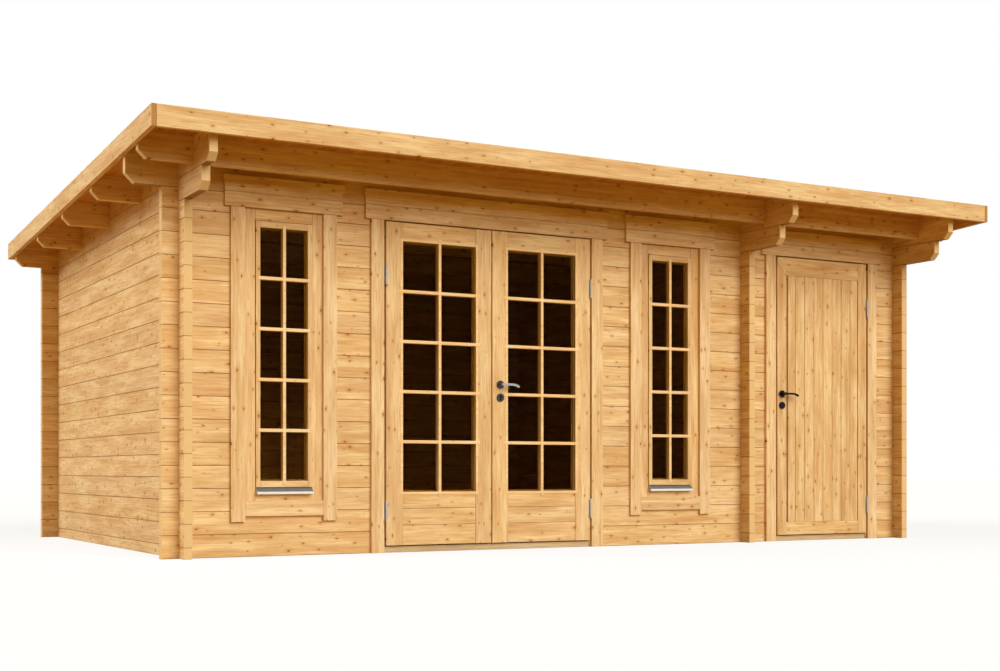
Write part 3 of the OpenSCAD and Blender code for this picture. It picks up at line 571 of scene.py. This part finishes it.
def upright_and_level(name, node, frame_member, seed, top=50.0, pitch=0.5, start=0.0, **more):
    """Pine for a frame in the front wall: its outer members stand, and the others lie between.
    The outer ones reach to its head, unless a lower top is given."""
    low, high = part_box(node)
    sides = ((low.x + high.x) / 2, (high.x - low.x) / 2 - frame_member, frame_member, top)
    return pine(name, "X", "Z", start, pitch, sides=sides, seed=seed, **more)


frame_edge = 0.0015
# The frame gets a thin dark line along the sash's top and sides: painted shadow of the gap round it
frame_shade_line = 0.003
window_member = 0.080
sash_gap = 0.002
casing_width = 0.087
door_casing_width = 0.086
cap_height = 0.097
casing_thickness = 0.020
head_ear = 0.037
lath_out = 0.010
jamb = 0.040
sash_stile = 0.027
for side, seed in (("left", 41), ("right", 45)):
    window = side + "_window"
    sash_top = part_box(window + "_sash")[1].z + sash_gap
    # Painted shadow along the sash's top and sides
    frame_pine = upright_and_level("planed pine, " + side + " window frame", window + "_frame",
                                   window_member, seed, start=sash_top, pitch=2.0,
                                   joint=frame_shade_line)
    finish([window + "_frame"], frame_pine)
    sash_pine = upright_and_level("planed pine, " + side + " window sash", window + "_sash",
                                  sash_stile, seed + 1)
    finish([window + "_sash"], sash_pine)
    soften([window + "_frame", window + "_sash", window + "_casing"], frame_edge)
for door, seed in (("double_door", 51), ("store_door", 55)):
    frame_pine = upright_and_level("planed pine, " + door.replace("_", " ") + " frame",
                                   door + "_frame", jamb, seed)
    finish([door + "_frame"], frame_pine)
    soften([door + "_frame", door + "_casing"], frame_edge)
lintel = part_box("double_door_frame")[1].z - jamb
# A dark line runs along the real joint between head and cap boards, and as painted shade along the
# casings' inner edges beside the frame and under the head board
casing_joint_and_shade = 0.0045
for opening, board_width, seed in (("left_window", casing_width, 61),
                                   ("right_window", casing_width, 63),
                                   ("double_door", door_casing_width, 65),
                                   ("store_door", door_casing_width, 67)):
    boards = upright_and_level("honey-stained pine, " + opening.replace("_", " ") + " casing",
                               opening + "_casing", board_width + head_ear + lath_out, seed,
                               top=lintel, start=lintel, pitch=cap_height,
                               rows=(wall_front - casing_thickness - 1, 1.0),
                               stepped=(lintel + casing_width, cap_height - casing_width),
                               joint=casing_joint_and_shade, shades=("#f5dbac", "#e9c795", "#c39052"))
    finish([opening + "_casing"], boards)

# The drip sills are folded from white-coated aluminium. Their sloping tops are painted dark grey
# and their front lips near white, with faint streaks on both.
fold_radius = 0.0006
coated = bpy.data.materials.new("white-coated aluminium, grey on its slope")
add = emptied(coated)
place = add("TexCoord").outputs
up = add("SeparateXYZ", {0: place["Normal"]}).outputs["Z"]
sloping = add("MapRange", {0: up, 1: 0.3, 2: 0.6})
streaked = add("Mapping", {"Vector": place["Object"], "Scale": (60.0, 6.0, 6.0)})
sill_streaks = add("TexNoise", {"Vector": streaked, "Scale": 1.0, "Detail": 3.0})
# Dark grey on the sloping tops, near white on the front lips
slope_grey = add("Mix", {0: sill_streaks, 6: "#5d5e60", 7: "#7d7e80"}, data_type="RGBA")
lip_white = add("Mix", {0: sill_streaks, 6: "#dfe1e0", 7: "#f1f2f0"}, data_type="RGBA")
coat = add("Mix", {0: sloping, 6: lip_white, 7: slope_grey}, data_type="RGBA")
rough = add("MapRange", {0: sill_streaks, 3: 0.4, 4: 0.62})
skin = add("BsdfPrincipled", {"Base Color": coat, "Roughness": rough})
add("OutputMaterial", {"Surface": skin})
finish(["window_sills"], coated)
soften(["window_sills"], fold_radius)

# The thresholds are hard wood that has weathered to a grey brown.
grey_oak = pine("weathered hardwood, thresholds", "X", "Z", -0.2, 1.0, rows=(wall_front - 0.1, 2.0),
                shades=("#e2caa2", "#cfb48b", "#a98d67"), knots=0.3, seed=71)
finish(["thresholds"], grey_oak)
soften(["thresholds"], planed_edge)

# ---------- Glass and glazing bars ----------
# Single float glass is set in a groove of each sash and leaf, near its inner face. Planed
# bars with rounded edges cross it outside and inside, their ends housed in the frame, so
# that each pane looks like ten. A bead closes the inner side.

# The glass is tinted dark brown, as painted shade so that the room looks unlit, and reflects
# less than bare glass
pane = bpy.data.materials.new("float glass tinted with painted room shade")
add = emptied(pane)
place = add("TexCoord").outputs["Object"]
ripple = add("TexNoise", {"Vector": place, "Scale": 2.5})
bump = add("Bump", {"Strength": 0.05, "Distance": 0.002, "Height": ripple})
skin = add("BsdfPrincipled",
           {"Base Color": "#b49d66", "Roughness": 0.02, "IOR": 1.05, "Specular IOR Level": 0.06,
            "Transmission Weight": 1.0, "Normal": bump})
add("OutputMaterial", {"Surface": skin})
finish(["left_window_glass", "right_window_glass", "left_door_glass", "right_door_glass"], pane)

# The bars and mouldings are paler than the other pine: their own planed wood, paled further as a
# painted highlight
bar_pine = pine("honey-stained pine, glazing bars", "X", "Z", 0.0, 0.3,
                shades=("#ffe2ae", "#f9d39a", "#e0b070"), knots=0.3, seed=81)
glass_in_groove = 0.0077
bar_width = 0.020
bar_proud = 0.003
bar_gap = 0.001
crossing_step = 0.0006
edge_round = 0.003


def rounded_bar(name, low, high):
    """A glazing bar with rounded edges."""
    return bar(name, low, high, edge=edge_round, segments=3)


def lattice(name, glass, rows, outer_face, inner_face, body, lap, foot_lap):
    """One upright and the level bars over the pane in the node glass, outside and inside. Their
    ends lap over the frame by lap, and the upright's foot by foot_lap."""
    low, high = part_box(glass)
    x0, x1 = low.x + glass_in_groove, high.x - glass_in_groove
    z0, z1 = low.z + glass_in_groove, high.z - glass_in_groove
    middle = (x0 + x1) / 2
    half = bar_width / 2
    bars = []
    for y0, y1 in ((outer_face - bar_proud, low.y - bar_gap),
                   (high.y + bar_gap, inner_face + bar_proud)):
        bars.append(rounded_bar(name, (middle - half, y0, z0 - foot_lap),
                                (middle + half, y1, z1 + lap)))
        for row in range(1, rows):
            z = z0 + (z1 - z0) * row / rows
            bars.append(rounded_bar(name, (x0 - lap, y0 + crossing_step, z - half),
                                    (x1 + lap, y1 - crossing_step, z + half)))
    carried(joined(name, bars), bar_pine, body, "pine_joinery")


def moulding(name, low, high, width, depth, out, body):
    """A mitred ring of square-edged moulding in the wall's plane. Its outer edge runs from low
    to high, it is width wide, and it stands depth out from there, out being -1 for the outside
    and 1 for the inside."""
    bpy.ops.mesh.primitive_plane_add(size=1, location=(low + high) / 2,
                                     rotation=(math.pi / 2, 0, 0))
    ring = bpy.context.object
    ring.scale = (high.x - low.x, high.z - low.z, 1)
    only(ring)
    bpy.ops.object.transform_apply(location=True, rotation=True, scale=True)
    bpy.ops.object.mode_set(mode="EDIT")
    bpy.ops.mesh.select_all(action="SELECT")
    bpy.ops.mesh.inset(thickness=width)
    bpy.ops.mesh.delete(type="FACE")
    bpy.ops.mesh.select_all(action="SELECT")
    bpy.ops.mesh.extrude_region_move(TRANSFORM_OT_translate={"value": (0, out * depth, 0)})
    bpy.ops.mesh.select_all(action="SELECT")
    bpy.ops.mesh.normals_make_consistent(inside=False)
    bpy.ops.object.mode_set(mode="OBJECT")
    ring.name = name
    carried(ring, bar_pine, body, "pine_joinery")


def inside_bead(name, glass, inner_face, body):
    """The bead that holds the pane from inside."""
    low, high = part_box(glass)
    grow = Vector((glass_in_groove, 0, glass_in_groove))
    back = Vector((0, high.y - low.y + bar_gap, 0))
    bead_width = 0.009
    start = Vector((low.x, low.y, low.z)) + grow + back
    end = Vector((high.x, low.y, high.z)) - grow + back
    moulding(name, start, end, bead_width, inner_face - start.y, 1, body)


pane_rows = 5
window_lap = 0.015
window_foot_lap = 0.022
for side in ("left", "right"):
    sash_low, sash_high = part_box(side + "_window_sash")
    lattice(side + "_window_bars", side + "_window_glass", pane_rows, sash_low.y, sash_high.y,
            "cabin", window_lap, window_foot_lap)
    inside_bead(side + "_window_bead", side + "_window_glass", sash_high.y, "cabin")

# ---------- Double door leaves ----------
# Each leaf has two full-height stiles, a top rail between them, a pane and three level
# boards below it, tenoned together. A moulding frames the glass outside, painted pale as highlight.

leaf_stile = 0.112
kick_board = 0.102
kick_line = 0.0025
kick_edge = 0.0025
stile_joint = 0.002
leaf_edge = 0.0018
moulding_width = 0.016
moulding_depth = 0.009
moulding_proud = 0.0015
bar_over = 0.012
for side, seed in (("left", 91), ("right", 94)):
    leaf = side + "_door_leaf"
    glass = side + "_door_glass"
    leaf_low, leaf_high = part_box(leaf)
    boards_low, boards_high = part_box(side + "_door_boards")
    lowest_board = boards_high.z - boards_low.z - 2 * kick_board
    leaf_pine = upright_and_level("planed pine, " + side + " leaf", leaf, leaf_stile, seed,
                                  start=leaf_high.z, pitch=5.0, joint=stile_joint)
    finish([leaf], leaf_pine)
    kick_pine = pine("planed pine, " + side + " leaf boards", "X", "Z", boards_low.z, lowest_board,
                     stepped=(boards_low.z + lowest_board, lowest_board - kick_board),
                     joint=kick_line, seed=seed + 1)
    finish([side + "_door_boards"], kick_pine)
    soften([leaf], leaf_edge)
    soften([side + "_door_boards"], kick_edge)
    lattice(side + "_door_bars", glass, pane_rows, leaf_low.y, leaf_high.y, side + "_leaf",
            moulding_width + bar_over, moulding_width + bar_over)
    inside_bead(side + "_door_bead", glass, leaf_high.y, side + "_leaf")
    low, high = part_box(glass)
    over_frame = Vector((moulding_width - glass_in_groove, 0, moulding_width - glass_in_groove))
    face = leaf_low.y + moulding_depth - moulding_proud
    start = Vector((low.x, face, low.z)) - over_frame
    end = Vector((high.x, face, high.z)) + over_frame
    moulding(side + "_door_moulding", start, end, moulding_width, moulding_depth, -1,
             side + "_leaf")

# ---------- Store door ----------
# A frame of stiles and rails holds a panel faced with eight upright tongued boards, nearly
# flush with the frame. They can swell along the lock stile, where a filler painted dark brown
# as the shadow in the joint lies beside a thin bead, and a cover strip runs across their tops.

store_stile = 0.080
store_mitre_line = 0.0025
store_low, store_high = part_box("store_door_leaf")
panel_low, panel_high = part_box("store_door_panel")
store_rail = store_high.z - panel_high.z + glass_in_groove
store_frame_pine = upright_and_level("planed pine, store door leaf", "store_door_leaf",
                                     store_stile, 101, start=store_high.z, pitch=5.0,
                                     joint=store_mitre_line,
                                     mitre=(store_high.z - store_rail, store_high.z))
finish(["store_door_leaf"], store_frame_pine)
soften(["store_door_leaf"], leaf_edge)

store_boards = 8
store_board = 0.086
store_board_line = 0.003
lock_bead = 0.0075
swelling_joint = 0.012
first_board = 0.0685
board_set_back = 0.003
board_face = store_low.y + board_set_back
open_foot = panel_low.z + glass_in_groove
open_head = panel_high.z - glass_in_groove
bead_left = store_low.x + store_stile
joint_left = bead_left + lock_bead
open_left = joint_left + swelling_joint
open_right = store_high.x - store_stile
first_line = open_left + first_board
last_line = first_line + (store_boards - 2) * store_board


def store_panel_board(x0, x1):
    """One board of the store door's face."""
    return bar("store_door_board", (x0, board_face, open_foot), (x1, panel_low.y, open_head),
               store_board_line)


boards = copies(store_panel_board(first_line, first_line + store_board),
                [(i * store_board, 0, 0) for i in range(1, store_boards - 2)])
boards += [store_panel_board(open_left, first_line), store_panel_board(last_line, open_right)]
store_pine = pine("planed pine, store door boards", "Z", "X", first_line - store_board, store_board,
                  joint=store_board_line, seed=103)
carried(joined("store_door_boards", boards), store_pine, "store_leaf", "pine_joinery")
finish(["store_door_panel"], store_pine)

# The filler is painted dark brown: painted shadow in the open joint beside the lock stile
filler_depth = 0.004
filler_edge = 0.0005
filler = bar("store_door_filler", (joint_left, board_face + filler_depth, open_foot),
             (open_left, panel_low.y, open_head), filler_edge)
filler_painted_shadow = pine("pine painted dark as joint shadow, store door filler", "Z", "X", 0.0, 5.0,
                   shades=("#8a5a26", "#7b4d1e", "#633c16"), seed=105)
carried(filler, filler_painted_shadow, "store_leaf", "pine_joinery")

strip_height = 0.039
strip_set_back = 0.0005
small_edge = 0.001
strip_foot = open_head - strip_height
bead = bar("store_door_bead", (bead_left, board_face, open_foot),
           (joint_left, panel_low.y, open_head), small_edge)
strip = bar("store_door_cover_strip", (bead_left, store_low.y + strip_set_back, strip_foot),
            (open_right, board_face, open_head), small_edge, 2)
strip_pine = pine("planed pine, store door strip", "X", "Z", strip_foot, strip_height, last=0,
                  joint=store_board_line, knots=0.7, seed=107)
carried(bead, store_pine, "store_leaf", "pine_joinery")
carried(strip, strip_pine, "store_leaf", "pine_joinery")

# ---------- Hinges ----------
# Lift-off hinges of bright zinc-plated steel: a pin half on the jamb and a socket half on the
# leaf, with a dark plastic washer between them and a domed cap on the top of each socket.

hinges = ["hinge_pins", "left_door_hinges", "right_door_hinges", "store_door_hinges"]
hinge_edge = 0.0008
zinc_plate = bpy.data.materials.new("bright zinc plating")
add = emptied(zinc_plate)
place = add("TexCoord").outputs["Object"]
drawn = add("Mapping", {"Vector": place, "Scale": (600.0, 600.0, 40.0)})
lines = add("TexNoise", {"Vector": drawn, "Scale": 1.0, "Detail": 2.0})
rough = add("MapRange", {0: lines, 3: 0.28, 4: 0.45})
grey = add("Mix", {0: lines, 6: "#a9adb0", 7: "#d2d4d5"}, data_type="RGBA")
skin = add("BsdfPrincipled", {"Base Color": grey, "Metallic": 1.0, "Roughness": rough})
add("OutputMaterial", {"Surface": skin})
finish(hinges, zinc_plate)
soften(hinges, hinge_edge)

nylon = bpy.data.materials.new("black nylon")
add = emptied(nylon)
place = add("TexCoord").outputs["Object"]
grain = add("TexNoise", {"Vector": place, "Scale": 500.0})
tint = add("Mix", {0: grain, 6: "#161617", 7: "#242425"}, data_type="RGBA")
skin = add("BsdfPrincipled", {"Base Color": tint, "Roughness": 0.5})
add("OutputMaterial", {"Surface": skin})


def turned(name, place, radius, height, dome):
    """A disc of bar stock standing at place, its upper edge rounded over to the depth dome."""
    bpy.ops.mesh.primitive_cylinder_add(vertices=24, radius=radius, depth=height,
                                        location=place + Vector((0, 0, height / 2)))
    made = bpy.context.object
    made.name = name
    only(made)
    bpy.ops.object.transform_apply(location=True, rotation=False, scale=False)
    bpy.ops.object.mode_set(mode="EDIT")
    bpy.ops.mesh.select_all(action="DESELECT")
    shape = bmesh.from_edit_mesh(made.data)
    for edge in shape.edges:
        edge.select = all(v.co.z > place.z + height / 2 for v in edge.verts)
    bmesh.update_edit_mesh(made.data)
    bpy.ops.mesh.bevel(offset=dome, segments=4, affect="EDGES")
    bpy.ops.object.mode_set(mode="OBJECT")
    return made


barrel = 0.013
cap_radius = barrel * 0.46
cap_thickness = 0.004
cap_dome = 0.003
washer_radius = barrel * 0.53
washer_thickness = 0.001
washer_dome = washer_thickness * 0.3
pins_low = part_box("hinge_pins")[0]
for node, body, on_left in (("left_door_hinges", "left_leaf", True),
                            ("right_door_hinges", "right_leaf", False),
                            ("store_door_hinges", "store_leaf", False)):
    low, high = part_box(node)
    axis_x = low.x + barrel / 2 if on_left else high.x - barrel / 2
    axis_y = low.y + barrel / 2
    half_hinge = low.z - washer_thickness - pins_low.z
    caps = [turned(body + "_hinge_cap", Vector((axis_x, axis_y, top)), cap_radius, cap_thickness,
                   cap_dome) for top in (low.z - washer_thickness + half_hinge, high.z)]
    carried(joined(body + "_hinge_caps", caps), zinc_plate, body, "zinc")
    washers = [turned(body + "_hinge_washer", Vector((axis_x, axis_y, foot)), washer_radius,
                      washer_thickness, washer_dome)
               for foot in (low.z - washer_thickness, high.z - half_hinge)]
    carried(joined(body + "_hinge_washers", washers), nylon, "cabin", "black_metal")

# ---------- Handles ----------
# The double door has satin steel levers on dark roses, the store door glossy black ones. The
# lower rose of each takes a black lock cylinder, whose face stands a little proud of it.


def plated(name, dull, bright, roughness, metallic, fine, gloss=0.5):
    """A metal or lacquer whose tone and gloss vary finely, as brushing or spraying leaves it."""
    made = bpy.data.materials.new(name)
    add = emptied(made)
    place = add("TexCoord").outputs["Object"]
    brushed = add("TexNoise", {"Vector": place, "Scale": fine, "Detail": 2.0})
    rough = add("MapRange", {0: brushed, 3: roughness - 0.06, 4: roughness + 0.08})
    tone = add("Mix", {0: brushed, 6: dull, 7: bright}, data_type="RGBA")
    skin = add("BsdfPrincipled",
               {"Base Color": tone, "Metallic": metallic, "Roughness": rough,
                "Specular IOR Level": gloss})
    add("OutputMaterial", {"Surface": skin})
    return made


lever_steel = plated("satin stainless steel", "#9c9d9c", "#c2c3c1", 0.26, 1.0, 900.0)
rose_steel = plated("gunmetal plating", "#3a3c3d", "#565859", 0.3, 1.0, 900.0)
black_gloss = plated("black gloss lacquer", "#08080a", "#131315", 0.2, 0.0, 300.0, gloss=0.2)
finish(["right_door_lever"], lever_steel)
finish(["right_door_roses"], rose_steel)
finish(["store_door_roses", "store_door_lever"], black_gloss)
rose_edge = 0.0015
lever_edge = 0.003
soften(["right_door_roses", "store_door_roses"], rose_edge)
soften(["right_door_lever", "store_door_lever"], lever_edge)

rose_diameter = 0.052
cylinder_proud = 0.0025
cylinder_raised = 0.006
cylinder_round = 0.0085
cylinder_tail = 0.005
cylinder_length = 0.033
tail_edge = 0.0008
key_half_width = 0.001
key_half_height = 0.0045
key_depth = 0.003
for node, body in (("right_door_roses", "right_leaf"), ("store_door_roses", "store_leaf")):
    low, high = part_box(node)
    middle = Vector(((low.x + high.x) / 2, (low.y + high.y) / 2,
                     low.z + rose_diameter / 2 + cylinder_raised))
    depth = high.y - low.y + 2 * cylinder_proud
    bpy.ops.mesh.primitive_cylinder_add(vertices=32, radius=cylinder_round, depth=depth,
                                        location=middle, rotation=(math.pi / 2, 0, 0))
    lock = bpy.context.object
    lock.name = body + "_lock_cylinder"
    only(lock)
    bpy.ops.object.transform_apply(location=True, rotation=True, scale=False)
    tail = bar("tail", (middle.x - cylinder_tail, middle.y - depth / 2,
                        middle.z + cylinder_round - cylinder_length),
               (middle.x + cylinder_tail, middle.y + depth / 2, middle.z), tail_edge)
    key_slot = bar("slot",
                   (middle.x - key_half_width, middle.y - depth, middle.z - key_half_height),
                   (middle.x + key_half_width, middle.y - depth / 2 + key_depth,
                    middle.z + key_half_height))
    only(lock)
    for helper, operation in ((tail, "UNION"), (key_slot, "DIFFERENCE")):
        cut = lock.modifiers.new("cut", "BOOLEAN")
        cut.object = helper
        cut.operation = operation
        cut.solver = "EXACT"
        bpy.ops.object.modifier_apply(modifier="cut")
        bpy.data.objects.remove(helper)
    carried(lock, black_gloss, body, "black_metal")

# ---------- Ground and light ----------
# A pale floor, and soft daylight from two sides: from the right of the front, and from the left
# and a little behind, so that what stands out from the front wall has a dark left edge.


def looked_at(add):
    """1 for what is seen straight, in a mirror or through glass, and 0 for what only lights."""
    ray = add("LightPath").outputs
    seen = add("Math", {0: ray["Is Camera Ray"], 1: ray["Is Glossy Ray"]}, operation="MAXIMUM")
    return add("Math", {0: seen, 1: ray["Is Transmission Ray"]}, operation="MAXIMUM")


# The floor looks white. What it throws back up is the soft warm light of a shaded yard.
floor_size = 120
floor_below = 0.0005
shadow_fill = 0.8
bpy.ops.mesh.primitive_plane_add(size=floor_size, location=(0, 0, -floor_below))
ground = bpy.context.object
ground.name = "ground"
pale = bpy.data.materials.new("pale studio floor")
add = emptied(pale)
lit = add("BsdfDiffuse", {"Color": "#a97f2a"})
lit_white = add("BsdfDiffuse", {"Color": "#ffffff"})
white = add("Emission", {"Color": (1, 1, 1, 1), "Strength": 1.0})
shown = add("MixShader", {0: shadow_fill, 1: lit_white, 2: white})
both = add("MixShader", {0: looked_at(add), 1: lit, 2: shown})
add("OutputMaterial", {"Surface": both})
ground.data.materials.append(pale)

sky = bpy.data.worlds.new("soft daylight")
bpy.context.scene.world = sky
add = emptied(sky)
daylight = add("Background", {"Color": "#ffd868", "Strength": 0.26})
plain = add("Background", {"Color": (1, 1, 1, 1), "Strength": 1.0})
both = add("MixShader", {0: looked_at(add), 1: daylight, 2: plain})
add("OutputWorld", {"Surface": both})

# Each light is wide and soft: its name, its bearing from the front towards the left, its
# height above the horizon and its width, all in degrees, and its strength. The front one
# would mirror itself in the glass, so it is kept out of reflections.
for name, bearing, rise, wide, strength in (("front_daylight", -14, 29, 46, 2.88),
                                            ("left_daylight", 101, 30, 44, 2.38)):
    lamp = bpy.data.lights.new(name, "SUN")
    lamp.energy = strength
    lamp.angle = math.radians(wide)
    lamp.color = (0.98, 1.0, 1.0)
    sun = bpy.data.objects.new(name, lamp)
    sun.visible_glossy = name != "front_daylight"
    sun.rotation_euler = (math.radians(90 - rise), 0, -math.radians(bearing))
    bpy.context.scene.collection.objects.link(sun)

# ---------- Camera ----------
# It stands off the front left corner, level, at the height of a low table.

corner = Vector((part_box("left_wall")[0].x, wall_front, 0))
from_corner = Vector((-2.4024, -8.1241, 0.5025))
heading = math.radians(28.93)
eye = bpy.data.cameras.new("camera")
eye.lens = 52.34
eye.sensor_width = 36.0
eye.shift_y = 0.1351
camera = bpy.data.objects.new("camera", eye)
camera.location = corner + from_corner
camera.rotation_euler = (math.pi / 2, 0, -heading)
bpy.context.scene.collection.objects.link(camera)
bpy.context.scene.camera = camera
bpy.context.scene.view_settings.view_transform = "Standard"
